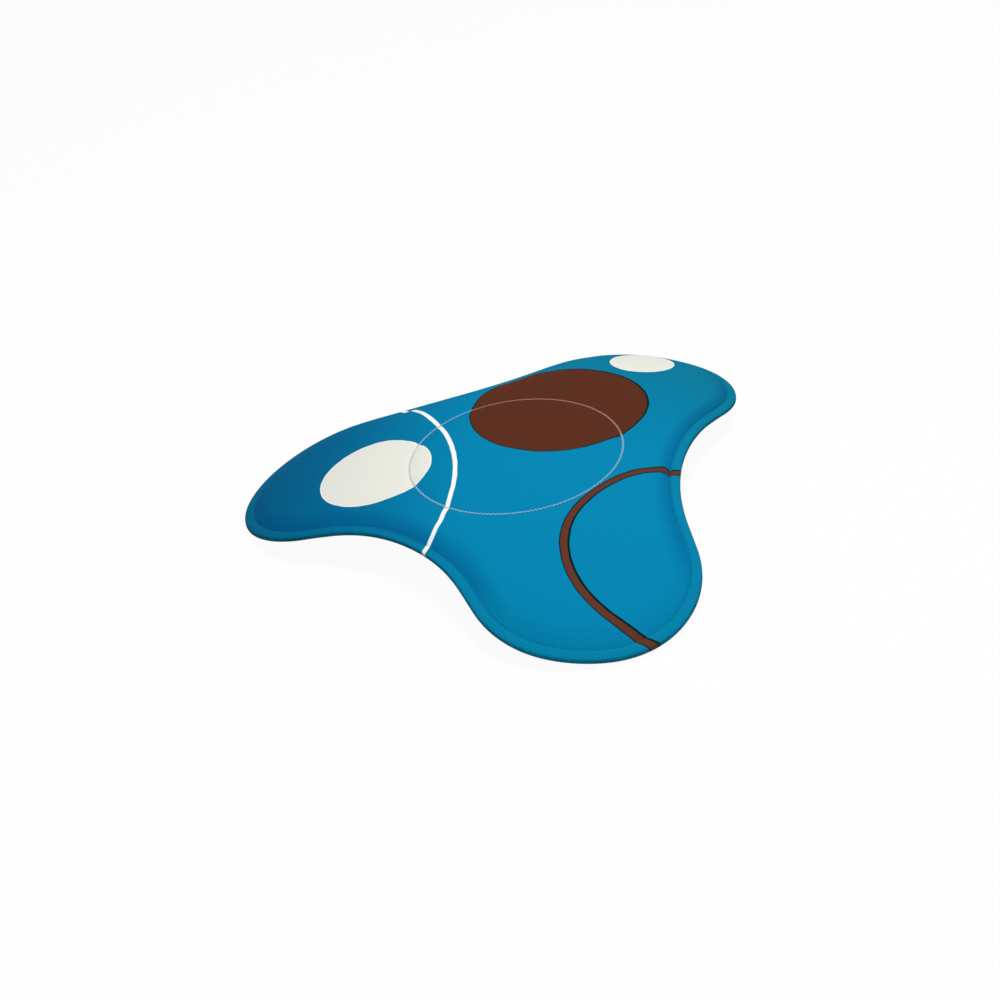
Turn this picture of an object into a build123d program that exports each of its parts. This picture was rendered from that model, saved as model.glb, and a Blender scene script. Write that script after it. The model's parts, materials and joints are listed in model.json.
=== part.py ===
"""A domed three-lobed kneeling board: a padded, fabric-covered board with a quilted crown ring.

Millimetres, +Z up.  The origin is the centre of the flat grip patch under the crown.
"""
import os
from math import asin, cos, degrees, radians, sin, sqrt

from build123d import *

os.makedirs("parts", exist_ok=True)

# --- plan outline: round lobes, joined by straight flanks and hollow waists -------------------
LOBE_COUNT = 3
LOBE_REACH = 184.5  # from the crown's axis to the centre of a lobe's end arc
LOBE_RADIUS = 110.0  # end arc of a lobe
FLANK_TAPER = 7.5  # degrees that a flank spreads from its lobe's own axis
WAIST_RADIUS = 236.5  # hollow arc between two lobes

# --- dome ---------------------------------------------------------------------------------------
RING_RADIUS = 107.0  # the stitched ring, where the crown meets the skirt
CROWN_RADIUS = 1600.0  # section arc of the crown, inside the ring
SKIRT_RADIUS = 559.0  # section arc of the skirt, from the ring out to the lobe tips

# --- layers, each measured square to the dome ---------------------------------------------------
COVER_WALL = 1.0  # canvas of either cover
LAYER_GAP = 0.3  # clearance between curved layers
CORE_WALL = 3.0  # moulded board that keeps the dome's shape
HEM_WALL = 2.0  # turned-in seam allowance inside the flange
PAD_RISE = 5.0  # the pad's top above the flange
PATCH_WALL = 1.2  # grip patch under the crown
PATCH_CHAMFER = 0.4  # the patch's lower edge
PRINT_WALL = 0.2  # film of printing ink
PRINT_GAP = 0.05  # between a print, or a thread, and the cover under it
THREAD_WALL = 0.5  # height of a sewn thread above the cover

# --- edges and seams ----------------------------------------------------------------------------
FLANGE_WIDTH = 12.0  # sewn edge, from the rim to the foot of the pad
SEAM_INSET = 9.8  # from the rim to the edge stitch
SEAM_WIDTH = 0.9
RING_STITCH_WIDTH = 3.0
PAD_ROLL = 3.2  # rounding of the pad's top edge
VALLEY_ROLL = 1.5  # rounding of the valley between the flange and the pad
RIM_ROLL = 2.0  # rounding of the rim
HEM_INSET = 1.8  # room for the rim's rounding, outside the turned-in hem
HEM_WIDTH = 10.0  # seam allowance, turned in from the rim
CORE_MARGIN = 2.0  # the board stops this far inside the pad's wall
CHANNEL_WIDTH = 3.4  # channel in the patch for the ring stitch
CHANNEL_DEPTH = 0.6
GROOVE_DEPTH = 2.6  # how far the ring stitch pulls the pad in
GROOVE_WIDTH = 16.0  # from shoulder to shoulder
GROOVE_SHOULDER = 5.0  # rounding of the groove's shoulders
PATCH_LAP = 2.0  # the patch runs this far past the ring stitch
PATCH_MARGIN = 1.0  # flat of the underside round the patch

# --- printed motifs in plan ---------------------------------------------------------------------
SPOTS = {  # centre x, centre y, radius
    "brown_spot": (68.0, 63.5, 89.5),
    "large_white_spot": (-135.0, 46.5, 56.7),
    "small_white_spot": (189.5, 145.0, 33.3),
}
STRIPES = {  # centre x, centre y, radius of the middle line, width
    "white_stripe": (-297.5, 71.5, 245.0, 3.8),
    "brown_stripe": (97.5, -203.5, 112.5, 6.4),
}
PRINT_INSET = 2.5  # the prints stop this far from the rim

# --- stack, as heights above the lower cover's underside ----------------------------------------
CORE_LOW = COVER_WALL + LAYER_GAP
CORE_TOP = CORE_LOW + CORE_WALL
HEM_TOP = CORE_LOW + HEM_WALL
PAD_LOW = CORE_TOP + LAYER_GAP
FLANGE_TOP = HEM_TOP + LAYER_GAP + COVER_WALL
PAD_TOP = FLANGE_TOP + PAD_RISE
CORE_INSET = FLANGE_WIDTH + COVER_WALL + CORE_MARGIN
PRINT_TOP = PRINT_GAP + PRINT_WALL  # above the upper cover
THREAD_LOW = PRINT_TOP + PRINT_GAP
THREAD_TOP = THREAD_LOW + THREAD_WALL

# --- dome geometry ------------------------------------------------------------------------------
RING_SLOPE = asin(RING_RADIUS / CROWN_RADIUS)
PATCH_RADIUS = RING_RADIUS + PATCH_LAP
FLAT_RADIUS = PATCH_RADIUS + PATCH_MARGIN
SKIRT_X = RING_RADIUS - SKIRT_RADIUS * sin(RING_SLOPE)
SKIRT_Z = PATCH_WALL - sqrt(SKIRT_RADIUS**2 - (FLAT_RADIUS - SKIRT_X) ** 2)
CROWN_Z = SKIRT_Z - (CROWN_RADIUS - SKIRT_RADIUS) * cos(RING_SLOPE)
TRIM_RADIUS = LOBE_REACH + LOBE_RADIUS + PAD_ROLL  # sections run past the lobe tips
TRIM_DEPTH = TRIM_RADIUS  # height of the blocks that cut them


def skirt_point(x, height):
    """Point of the skirt's section at radius x, height above the underside."""
    return (x, SKIRT_Z + sqrt((SKIRT_RADIUS + height) ** 2 - (x - SKIRT_X) ** 2))


def dome_section(low, high):
    """Half section of a layer that is flat below the crown, as the underside is."""
    low_break = skirt_point(FLAT_RADIUS, low)
    high_break = skirt_point(FLAT_RADIUS, high)
    middle_x = (FLAT_RADIUS + TRIM_RADIUS) / 2
    with BuildSketch(Plane.XZ) as section:
        with BuildLine():
            Line((0, high_break[1]), (0, low_break[1]))
            Line((0, low_break[1]), low_break)
            ThreePointArc(low_break, skirt_point(middle_x, low), skirt_point(TRIM_RADIUS, low))
            Line(skirt_point(TRIM_RADIUS, low), skirt_point(TRIM_RADIUS, high))
            ThreePointArc(skirt_point(TRIM_RADIUS, high), skirt_point(middle_x, high), high_break)
            Line(high_break, (0, high_break[1]))
        make_face()
    return section.sketch


def quilted_section(low, lift):
    """Half section of the pad: crowned inside the ring, and pulled in along the ring stitch."""
    high = PAD_TOP + lift
    low_break = skirt_point(FLAT_RADIUS, low)
    high_break = skirt_point(SKIRT_X + (SKIRT_RADIUS + high) * sin(RING_SLOPE), high)
    middle_x = (FLAT_RADIUS + TRIM_RADIUS) / 2
    groove_radius = (GROOVE_WIDTH**2 / 4 + GROOVE_DEPTH**2) / (2 * GROOVE_DEPTH)
    groove_z = skirt_point(RING_RADIUS, PAD_TOP)[1] - GROOVE_DEPTH + groove_radius
    with BuildSketch(Plane.XZ) as section:
        with BuildLine():
            Line((0, CROWN_Z + CROWN_RADIUS + high), (0, low_break[1]))
            Line((0, low_break[1]), low_break)
            ThreePointArc(low_break, skirt_point(middle_x, low), skirt_point(TRIM_RADIUS, low))
            Line(skirt_point(TRIM_RADIUS, low), skirt_point(TRIM_RADIUS, high))
            ThreePointArc(skirt_point(TRIM_RADIUS, high), skirt_point(middle_x, high), high_break)
            CenterArc((0, CROWN_Z), CROWN_RADIUS + high, 90 - degrees(RING_SLOPE), degrees(RING_SLOPE))
        make_face()
        with Locations((RING_RADIUS, groove_z)):
            Circle(groove_radius - lift, mode=Mode.SUBTRACT)
        shoulders = section.vertices().filter_by(lambda v: 0 < abs(v.X - RING_RADIUS) < GROOVE_WIDTH)
        fillet(shoulders.filter_by(lambda v: v.Y > high_break[1] - GROOVE_DEPTH), GROOVE_SHOULDER + lift)
    return section.sketch


def polar(distance, angle):
    """Point at a distance and an angle, in degrees, from the crown's axis."""
    return Vector(distance * cos(radians(angle)), distance * sin(radians(angle)))


def lobed_outline(inset):
    """Closed outline of the board, set in from the rim."""
    pitch = 360 / LOBE_COUNT
    tip_turn = 90 - FLANK_TAPER  # half of the angle that a lobe's end arc turns
    waist_turn = tip_turn - pitch / 2
    flank = LOBE_REACH * sin(radians(FLANK_TAPER)) + LOBE_RADIUS  # axis to a flank's line
    corner = flank / cos(radians(waist_turn))
    waist_reach = corner + WAIST_RADIUS / cos(radians(waist_turn))
    tip_radius = LOBE_RADIUS - inset
    hollow = WAIST_RADIUS + inset
    with BuildSketch(Plane.XY.offset(-TRIM_DEPTH)) as outline:
        with BuildLine():
            for lobe in range(LOBE_COUNT):
                axis = lobe * pitch - 90
                waist = axis + pitch / 2
                tip_centre = polar(LOBE_REACH, axis)
                waist_centre = polar(waist_reach, waist)
                next_centre = polar(LOBE_REACH, axis + pitch)
                tip_start = tip_centre + polar(tip_radius, axis - tip_turn)
                tip_end = tip_centre + polar(tip_radius, axis + tip_turn)
                hollow_start = waist_centre - polar(hollow, waist + waist_turn)
                hollow_end = waist_centre - polar(hollow, waist - waist_turn)
                next_start = next_centre + polar(tip_radius, axis + pitch - tip_turn)
                ThreePointArc(tip_start, polar(LOBE_REACH + tip_radius, axis), tip_end)
                Line(tip_end, hollow_start)
                ThreePointArc(hollow_start, polar(waist_reach - hollow, waist), hollow_end)
                Line(hollow_end, next_start)
        make_face()
    return outline.sketch


def lobed_layer(section, inset, top_roll=0.0):
    """A section turned into a dome and cut to the outline, with its top edge rounded."""
    with BuildPart() as layer:
        revolve(section, axis=Axis.Z)
        extrude(lobed_outline(inset), amount=2 * TRIM_DEPTH, mode=Mode.INTERSECT)
        if top_roll > 0:
            walls = layer.faces().filter_by(lambda face: abs(face.normal_at().Z) < 0.001)
            bands = [wall.edges().filter_by(Axis.Z, reverse=True).sort_by(Axis.Z) for wall in walls]
            fillet([band[-1] for band in bands], top_roll)
    return layer.part


def lobed_block(inset):
    """A tall block of the outline, to cut layers with."""
    with BuildPart() as block:
        extrude(lobed_outline(inset), amount=2 * TRIM_DEPTH)
    return block.part


def pad_form(low, lift):
    """The pad from a height up, its outer surface lifted above the cover's, or sunk below it."""
    return lobed_layer(quilted_section(low, lift), FLANGE_WIDTH - lift, top_roll=PAD_ROLL + lift)


def skin_form(low, lift):
    """Everything inside a surface lifted above the upper cover's outside, or sunk below it."""
    with BuildPart() as form:
        add(lobed_layer(dome_section(low, FLANGE_TOP + lift), -lift, top_roll=RIM_ROLL + lift))
        add(pad_form(low, lift))
        fillet(form.edges(Select.NEW), VALLEY_ROLL - lift)
    return form.part


def finish(piece, name):
    """Label a finished piece and write it to its own file."""
    piece.label = name
    export_step(piece, f"parts/{name}.step")


# --- lower cover: a plain sheet, flat round the patch -------------------------------------------
with BuildPart() as bottom_cover:
    add(lobed_layer(dome_section(0, COVER_WALL), 0))
finish(bottom_cover.part, "bottom_cover")

# --- grip patch: a flat disc sewn under the crown, its stitch sunk in a channel -----------------
with BuildPart() as grip_patch:
    Cylinder(PATCH_RADIUS, PATCH_WALL, align=(Align.CENTER, Align.CENTER, Align.MIN))
    chamfer(grip_patch.edges().sort_by(Axis.Z)[0], PATCH_CHAMFER)
    with BuildSketch():
        Circle(RING_RADIUS + CHANNEL_WIDTH / 2)
        Circle(RING_RADIUS - CHANNEL_WIDTH / 2, mode=Mode.SUBTRACT)
    extrude(amount=CHANNEL_DEPTH, mode=Mode.SUBTRACT)
finish(grip_patch.part, "grip_patch")

# --- core board: the moulded sheet that carries the shape ---------------------------------------
with BuildPart() as core_board:
    add(lobed_layer(dome_section(CORE_LOW, CORE_TOP), CORE_INSET))
finish(core_board.part, "core_board")

# --- seam allowance: both covers' edges turned in between the flange's two sheets ---------------
with BuildPart() as seam_allowance:
    add(lobed_layer(dome_section(CORE_LOW, HEM_TOP), HEM_INSET))
    add(lobed_block(HEM_INSET + HEM_WIDTH), mode=Mode.SUBTRACT)
finish(seam_allowance.part, "seam_allowance")

# --- foam pad: crowned, quilted and rolled down at its edge -------------------------------------
with BuildPart() as foam_pad:
    add(pad_form(PAD_LOW, -COVER_WALL - LAYER_GAP))
finish(foam_pad.part, "foam_pad")

# --- upper cover: one sheet over pad, valley, flange and rim ------------------------------------
with BuildPart() as top_cover:
    add(skin_form(CORE_LOW, 0))
    add(skin_form(0, -COVER_WALL), mode=Mode.SUBTRACT)
finish(top_cover.part, "top_cover")

# --- prints: films of ink on the upper cover ----------------------------------------------------
with BuildPart() as ink:
    add(skin_form(CORE_LOW, PRINT_TOP))
    add(skin_form(0, PRINT_GAP), mode=Mode.SUBTRACT)
    add(lobed_block(PRINT_INSET), mode=Mode.INTERSECT)


def printed(x, y, outer, inner=0.0):
    """The part of the ink film inside a spot, or between the two circles of a stripe."""
    with BuildPart() as motif:
        add(ink.part)
        with BuildSketch(Plane.XY.offset(-TRIM_DEPTH)):
            with Locations((x, y)):
                Circle(outer)
                if inner > 0:
                    Circle(inner, mode=Mode.SUBTRACT)
        extrude(amount=2 * TRIM_DEPTH, mode=Mode.INTERSECT)
    return motif.part


for name, (x, y, radius) in SPOTS.items():
    finish(printed(x, y, radius), name)
for name, (x, y, radius, width) in STRIPES.items():
    finish(printed(x, y, radius + width / 2, radius - width / 2), name)

# --- ring stitch: sewn through the board, in the groove above and the patch's channel below -----
with BuildPart() as ring_stitch:
    add(pad_form(PAD_LOW, THREAD_TOP))
    add(pad_form(0, THREAD_LOW), mode=Mode.SUBTRACT)
    with BuildSketch(Plane.XY.offset(-TRIM_DEPTH)):
        Circle(RING_RADIUS + RING_STITCH_WIDTH / 2)
        Circle(RING_RADIUS - RING_STITCH_WIDTH / 2, mode=Mode.SUBTRACT)
    extrude(amount=2 * TRIM_DEPTH, mode=Mode.INTERSECT)
    with BuildSketch():
        Circle(RING_RADIUS + RING_STITCH_WIDTH / 2)
        Circle(RING_RADIUS - RING_STITCH_WIDTH / 2, mode=Mode.SUBTRACT)
    extrude(amount=THREAD_WALL)
finish(ring_stitch.part, "ring_stitch")

# --- edge stitch: one row round the flange, above and below -------------------------------------
with BuildPart() as edge_stitch:
    add(lobed_layer(dome_section(FLANGE_TOP + THREAD_LOW, FLANGE_TOP + THREAD_TOP), SEAM_INSET - SEAM_WIDTH / 2))
    add(lobed_layer(dome_section(-THREAD_TOP, -THREAD_LOW), SEAM_INSET - SEAM_WIDTH / 2))
    add(lobed_block(SEAM_INSET + SEAM_WIDTH / 2), mode=Mode.SUBTRACT)
finish(edge_stitch.part, "edge_stitch")
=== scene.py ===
# %% [markdown]
# # A three-lobed kneeling board, dressed
#
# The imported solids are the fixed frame: a domed board with a sewn flange, a pad on top and a grip
# patch below.  The rigid patch keeps its solid and gets a better finish.  Everything made of
# cloth is modelled again here, because cloth has soft shoulders, puckers and stitches that a
# solid lacks.  Lengths are metres, and +Z is up, out of the printed side.

# %% load the frame
import json
from math import asin, atan2, cos, degrees, hypot, pi, radians, sin, sqrt, tanh

import bmesh
import bpy
from mathutils import Matrix, Vector, noise
from mathutils.bvhtree import BVHTree

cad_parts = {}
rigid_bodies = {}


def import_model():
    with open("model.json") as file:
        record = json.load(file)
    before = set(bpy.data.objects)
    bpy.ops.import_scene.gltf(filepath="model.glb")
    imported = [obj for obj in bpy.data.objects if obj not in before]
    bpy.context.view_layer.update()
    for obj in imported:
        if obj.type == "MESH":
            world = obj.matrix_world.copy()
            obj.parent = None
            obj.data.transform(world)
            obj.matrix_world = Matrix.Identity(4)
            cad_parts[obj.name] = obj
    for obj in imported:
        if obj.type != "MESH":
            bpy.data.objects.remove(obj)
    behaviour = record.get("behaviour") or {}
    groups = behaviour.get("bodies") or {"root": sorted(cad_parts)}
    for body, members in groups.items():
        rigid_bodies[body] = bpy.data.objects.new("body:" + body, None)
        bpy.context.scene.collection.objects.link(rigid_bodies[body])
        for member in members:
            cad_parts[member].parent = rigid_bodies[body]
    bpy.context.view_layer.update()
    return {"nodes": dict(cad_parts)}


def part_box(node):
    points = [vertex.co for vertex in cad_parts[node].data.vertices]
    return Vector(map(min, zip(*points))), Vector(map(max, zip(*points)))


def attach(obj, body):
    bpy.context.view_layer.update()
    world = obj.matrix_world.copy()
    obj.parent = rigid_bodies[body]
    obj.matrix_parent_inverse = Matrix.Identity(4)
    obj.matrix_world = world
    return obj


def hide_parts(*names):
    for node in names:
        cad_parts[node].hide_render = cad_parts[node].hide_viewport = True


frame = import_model()
MM = 0.001
print("nodes:", ", ".join(sorted(frame["nodes"])))

# %% [markdown]
# ## Sizes
#
# A handful of driving sizes fixes the whole board: the lobes, the hollow waists between them, the
# stitched ring and the two arcs of the dome's section.  They could all be typed in, but where the
# frame can tell a size it is read from there, so the cloth follows the solids if they change.

# %% driving sizes
LOBE_COUNT = 3
LOBE_RADIUS = 110 * MM
FLANK_TAPER = radians(7.5)  # how far a flank leans in towards its lobe's axis
WAIST_RADIUS = 236.5 * MM
CROWN_RADIUS = 1600 * MM  # of the dome's section inside the ring
SKIRT_RADIUS = 559 * MM  # and outside it
PATCH_LAP = 2 * MM  # how far the patch runs past the ring stitch
PATCH_CLEARANCE = 1 * MM  # from the patch's edge to where the underside falls away

patch_low, patch_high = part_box("grip_patch")
cover_low, cover_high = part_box("top_cover")
RING_RADIUS = patch_high.x - PATCH_LAP
LOBE_REACH = -cover_low.y - LOBE_RADIUS  # from the middle to the centre of a lobe's arc
FLAT_RADIUS = patch_high.x + PATCH_CLEARANCE
PATCH_WALL = patch_high.z - patch_low.z

FLANGE_TOP = 4.6 * MM  # heights are square to the underside
PAD_TOP = 9.6 * MM
CLOTH = 1.0 * MM
GAP = 0.3 * MM
print(f"ring {RING_RADIUS / MM:.1f} mm, lobes reach {(LOBE_REACH + LOBE_RADIUS) / MM:.1f} mm")

# %% [markdown]
# ## What sewing does to the shape
#
# A real board is never quite true: the lobes carry a slight twist, and stretches of the rim slip
# a few millimetres as the covers are sewn.  Sculpting each layer by hand could show that, but the
# layers would soon cross.  So the slips are one short table, and every layer, seam and thread is
# sent through the same function.  Twist and slips both fade out before they reach the rigid
# patch.

# %% twist and slips
UP = Vector((0, 0, 1))
TWIST = 0.091  # rise per square metre of x times y
TWIST_START = 112 * MM
TWIST_FULL = 203 * MM
# Each slip says which way its stretch of the rim lies, how far it is turned round the crown,
# how far it is drawn outwards, and how narrow it is.
SLIPS = (
    (radians(-90), -2.4 * MM, 0.6 * MM, 1.5),
    (radians(-98), 0, -3.4 * MM, 30),
    (radians(30), 3.5 * MM, -2.5 * MM, 1.5),
    (radians(150), 5.0 * MM, -0.7 * MM, 1.5),
    (radians(-30), 0, 1.3 * MM, 1.5),
    (radians(-150), 0, -2.8 * MM, 1.5),
)


def smooth(low, high, value):
    """A soft step from 0, at low, to 1, at high."""
    t = min(max((value - low) / (high - low), 0.0), 1.0)
    return t * t * (3 - 2 * t)


def twist(x, y):
    return TWIST * x * y * smooth(TWIST_START, TWIST_FULL, hypot(x, y))


def settled(x, y):
    """Where a point of the plan comes to lie; a slip is felt up to 60 degrees from its axis."""
    r = hypot(x, y)
    slip = Vector((0, 0, 0))
    for axis, turned, stretched, narrow in SLIPS:
        along = (x * cos(axis) + y * sin(axis)) / r if r else 0
        share = max(along * 2 - 1, 0) ** narrow * smooth(TWIST_START, TWIST_FULL, r)
        outward = Vector((x, y, 0)) / r if r else slip
        slip += (outward * stretched + UP.cross(outward) * turned) * share
    return x + slip.x, y + slip.y


tip = Vector((0, -LOBE_REACH - LOBE_RADIUS))
print(f"the front tip slips by {(Vector(settled(*tip)) - tip).length / MM:.1f} mm")

# %% [markdown]
# ## The dome
#
# Every layer of the board is a sheet at some height above the same domed underside: nearly flat
# under the crown, then a rounder skirt that falls to the lobe tips.  A lattice or a shrinkwrap
# could bend flat sheets over it, but one function that gives the height for any point of the plan
# is exact, and layers made with it can't cross.

# %% dome heights
RING_SLOPE = asin(RING_RADIUS / CROWN_RADIUS)
SKIRT_X = RING_RADIUS - SKIRT_RADIUS * sin(RING_SLOPE)
SKIRT_Z = PATCH_WALL - sqrt(SKIRT_RADIUS**2 - (FLAT_RADIUS - SKIRT_X) ** 2)
CROWN_Z = SKIRT_Z - (CROWN_RADIUS - SKIRT_RADIUS) * cos(RING_SLOPE)


def skirt(x, y, height):
    """Height of a layer outside the patch, and of the flat that it ends in."""
    r = max(hypot(x, y), FLAT_RADIUS)
    return SKIRT_Z + sqrt((SKIRT_RADIUS + height) ** 2 - (r - SKIRT_X) ** 2) + twist(x, y)


def crown(x, y, height):
    """Height of a layer that stays domed over the patch."""
    r = hypot(x, y)
    if r > SKIRT_X + (SKIRT_RADIUS + height) * sin(RING_SLOPE):
        return skirt(x, y, height)
    return CROWN_Z + sqrt((CROWN_RADIUS + height) ** 2 - r * r) + twist(x, y)


print(f"crown top {crown(0, 0, PAD_TOP) / MM:.1f} mm, frame says {cover_high.z / MM:.1f} mm")

# %% [markdown]
# ## The plan outline
#
# The rim is round lobes joined by straight flanks and hollow waists.  It could be a curve object,
# but the layers need a face to inset.  A vertex spun round a centre leaves an arc of edges behind
# it, which is the bmesh way to draw such a line: one lobe is spun, its flank is extruded, the
# waist is spun the other way, and the run is turned round the axis for the other two lobes.

# %% line helpers
def polar(distance, angle):
    return Vector((distance * cos(angle), distance * sin(angle), 0))


def extrude_line(bm, start, end, steps):
    """Extrudes a vertex to a point in equal steps and returns the last one."""
    stride = (end - start.co) / steps
    for _ in range(steps):
        start = bmesh.ops.extrude_vert_indiv(bm, verts=[start])["verts"][0]
        start.co += stride
    return start


def spin_arc(bm, start, centre, angle, steps):
    """Spins a vertex round a centre and returns the last one."""
    turned = bmesh.ops.spin(bm, geom=[start], cent=centre, axis=UP, angle=angle, steps=steps)
    return turned["geom_last"][0]


# %% rim line
LOBE_STEPS = 62
FLANK_STEPS = 6
WAIST_STEPS = 38
PITCH = 2 * pi / LOBE_COUNT
WELD = 0.2 * MM  # points nearer than this are merged where the runs meet


def rim_face(bm):
    """Draws the rim and fills it with one face."""
    tip_turn = pi / 2 - FLANK_TAPER
    waist_turn = tip_turn - PITCH / 2
    flank = LOBE_REACH * sin(FLANK_TAPER) + LOBE_RADIUS
    waist_reach = (flank + WAIST_RADIUS) / cos(waist_turn)
    axis = -pi / 2
    tip_centre = polar(LOBE_REACH, axis)
    waist_centre = polar(waist_reach, axis + PITCH / 2)
    hollow_start = waist_centre - polar(WAIST_RADIUS, axis + PITCH / 2 + waist_turn)
    next_start = polar(LOBE_REACH, axis + PITCH) + polar(LOBE_RADIUS, axis + PITCH - tip_turn)
    point = bm.verts.new(tip_centre + polar(LOBE_RADIUS, axis - tip_turn))
    point = spin_arc(bm, point, tip_centre, 2 * tip_turn, LOBE_STEPS)
    point = extrude_line(bm, point, hollow_start, FLANK_STEPS)
    point = spin_arc(bm, point, waist_centre, -2 * waist_turn, WAIST_STEPS)
    extrude_line(bm, point, next_start, FLANK_STEPS)
    bmesh.ops.spin(bm, geom=bm.verts[:] + bm.edges[:], cent=(0, 0, 0), axis=UP,
                   angle=2 * pi, steps=LOBE_COUNT, use_duplicate=True)
    bmesh.ops.remove_doubles(bm, verts=bm.verts[:], dist=WELD)
    face = bmesh.ops.contextual_create(bm, geom=bm.edges[:])["faces"][0]
    if face.normal.z < 0:
        face.normal_flip()
    return face


trial = bmesh.new()
rim = rim_face(trial)
rim_length = sum(edge.calc_length() for edge in trial.edges)
print(f"rim of {len(rim.verts)} points, {rim_length / MM:.0f} mm round")
trial.free()

# %% [markdown]
# ## Sheets
#
# A layer starts from the filled rim.  A grid cut to the outline would be quicker to write, but
# its cells would cross the seam at every angle.  Each inset leaves a band of quads behind it
# instead, so the bands run parallel to the rim, which is how the flange, its stitch and the pad's
# soft shoulder run on the real board.  Past the shoulder the bands are eased into circles, for
# the stitched ring and the crown.  Each vertex keeps its distance from the rim, for the heights
# and for the inks.

# %% band helpers
EASE_RADIUS = 119 * MM  # of the circle that the bands are eased into
EASE_DEPTH = 20 * MM  # how much further from the rim that circle counts as
THIN_OUT_RADIUS = 85 * MM  # inside this, each circle has half the points of the last
FEWEST_POINTS = 40
HAIR = 0.01 * MM  # an inset of nothing, before its points are placed


def inset_band(bm, face, step):
    bmesh.ops.inset_individual(bm, faces=[face], thickness=step, use_even_offset=True)


def mark(face, layer, inset):
    """Writes a distance from the rim on the face's points."""
    for vert in face.verts:
        vert[layer] = inset


def add_bands(bm, face, layer, insets):
    """Insets the face step by step; what lies outside the first inset is cut away."""
    mark(face, layer, insets[0])
    if insets[0] > 0:
        inset_band(bm, face, insets[0])
        mark(face, layer, insets[0])
        kept = set(face.verts)
        outer = [vert for vert in bm.verts if vert not in kept]
        bmesh.ops.delete(bm, geom=outer, context="VERTS")
    for previous, inset in zip(insets, insets[1:]):
        inset_band(bm, face, max(inset, 0) - max(previous, 0) or HAIR)
        mark(face, layer, inset)


def add_circles(bm, face, layer, reached, eases, radii):
    """Eases the face's edge into a circle, goes in circle by circle and returns the last face."""
    start = [vert.co.copy() for vert in face.verts]
    for step in range(1, eases + 1):
        inset_band(bm, face, HAIR)
        share = step / eases
        for vert, place in zip(face.verts, start):
            vert.co = place.lerp(place.normalized() * EASE_RADIUS, share)
        mark(face, layer, reached + share * EASE_DEPTH)
    for radius in radii:
        inset_band(bm, face, HAIR)
        for vert in face.verts:
            vert.co = vert.co.normalized() * radius
        mark(face, layer, reached + EASE_DEPTH + EASE_RADIUS - radius)
        if radius < THIN_OUT_RADIUS and len(face.verts) > FEWEST_POINTS:
            bmesh.ops.dissolve_verts(bm, verts=list(face.verts)[::2])
            face = min(bm.faces, key=lambda f: f.calc_center_median_weighted().xy.length)
    return face


# %% sheet helper
def in_mm(*values):
    return [value * MM for value in values]


def finished(bm, name):
    """Makes a smooth-shaded object of a bmesh."""
    mesh = bpy.data.meshes.new(name)
    bm.to_mesh(mesh)
    bm.free()
    mesh.polygons.foreach_set("use_smooth", [True] * len(mesh.polygons))
    made = bpy.data.objects.new(name, mesh)
    bpy.context.scene.collection.objects.link(made)
    print(f"{name}: {len(mesh.polygons)} faces")
    return made


def lobed_sheet(name, insets, eases, radii, surface):
    """A sheet of bands in from the rim, then eased bands, then circles; surface gives its height.

    An inset below zero is that far down the side of the rim.  With no circles, the middle
    stays open.
    """
    bm = bmesh.new()
    face = rim_face(bm)
    layer = bm.verts.layers.float.new("inset")
    add_bands(bm, face, layer, insets)
    if radii:
        face = add_circles(bm, face, layer, insets[-1], eases, radii)
        bmesh.ops.poke(bm, faces=[face])
    else:
        bmesh.ops.delete(bm, geom=[face], context="FACES_ONLY")
    bmesh.ops.triangulate(bm, faces=[f for f in bm.faces if len(f.verts) > 4])
    for vert in bm.verts:
        vert.co.x, vert.co.y = settled(vert.co.x, vert.co.y)
        vert.co.z = surface(vert.co.x, vert.co.y, vert[layer])
    return finished(bm, name)


# %% [markdown]
# ## Layer profiles
#
# The upper cover starts under the rim, rolls over it, runs level along the flange, is pinched
# down by the edge stitch and then climbs the pad's shoulder, which is wider and softer on one
# side, where the foam is loosest.  A bevelled curve could carry one such section round the rim,
# but not one that changes on the way.  A short formula can, and every layer is set off from it by
# its own thickness.

# %% edge profile
RIM_ROLL = 2.0 * MM
FLANGE_BULGE = 0.35 * MM
SEAM_INSET = 9.8 * MM
SEAM_PINCH = 1.8 * MM
PINCH_REACH = 2.6 * MM  # half the width of the pinch
PINCH_LOST = 0.7  # the share of the pinch that the loose side lacks
PAD_FOOT = 10.2 * MM  # where the pad starts to rise
PAD_ROLL = 9 * MM  # the steep part of its shoulder
SOFTER_ROLL = 13 * MM  # and how much wider it is where the foam is loosest
PAD_SHOULDER = 34 * MM  # and how far in it goes on rising
ROLL_SHARE = 0.84  # of the rise that the steep part takes


def cover_height(inset, softness=0.0):
    """Height of the upper cover's outside, from under the rim to the top of the pad."""
    roll = sqrt(max(RIM_ROLL**2 - (RIM_ROLL - min(max(inset, 0), RIM_ROLL)) ** 2, 0))
    height = FLANGE_TOP - RIM_ROLL + roll + min(inset, 0)
    height += FLANGE_BULGE * sin(pi * min(max(inset / SEAM_INSET, 0), 1))
    nearness = max(1 - abs(inset - SEAM_INSET) / PINCH_REACH, 0)
    height -= SEAM_PINCH * (1 - PINCH_LOST * softness) * nearness**2
    roll_width = PAD_ROLL + SOFTER_ROLL * softness
    steep = sin(pi / 2 * min(max((inset - PAD_FOOT) / roll_width, 0), 1))
    gentle = 1 - (1 - min(max((inset - PAD_FOOT) / PAD_SHOULDER, 0), 1)) ** 2
    return height + (PAD_TOP - FLANGE_TOP) * (ROLL_SHARE * steep + (1 - ROLL_SHARE) * gentle)


print(f"the flange is {cover_height(SEAM_INSET / 2) / MM:.1f} mm high, "
      f"{cover_height(SEAM_INSET) / MM:.1f} mm at the seam")

# %% [markdown]
# Round the crown a zigzag stitch pulls the cover into a narrow valley with rounded banks, and the
# foam under it is never quite even.  Both are added to the height, so the sheet keeps its bands.

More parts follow.
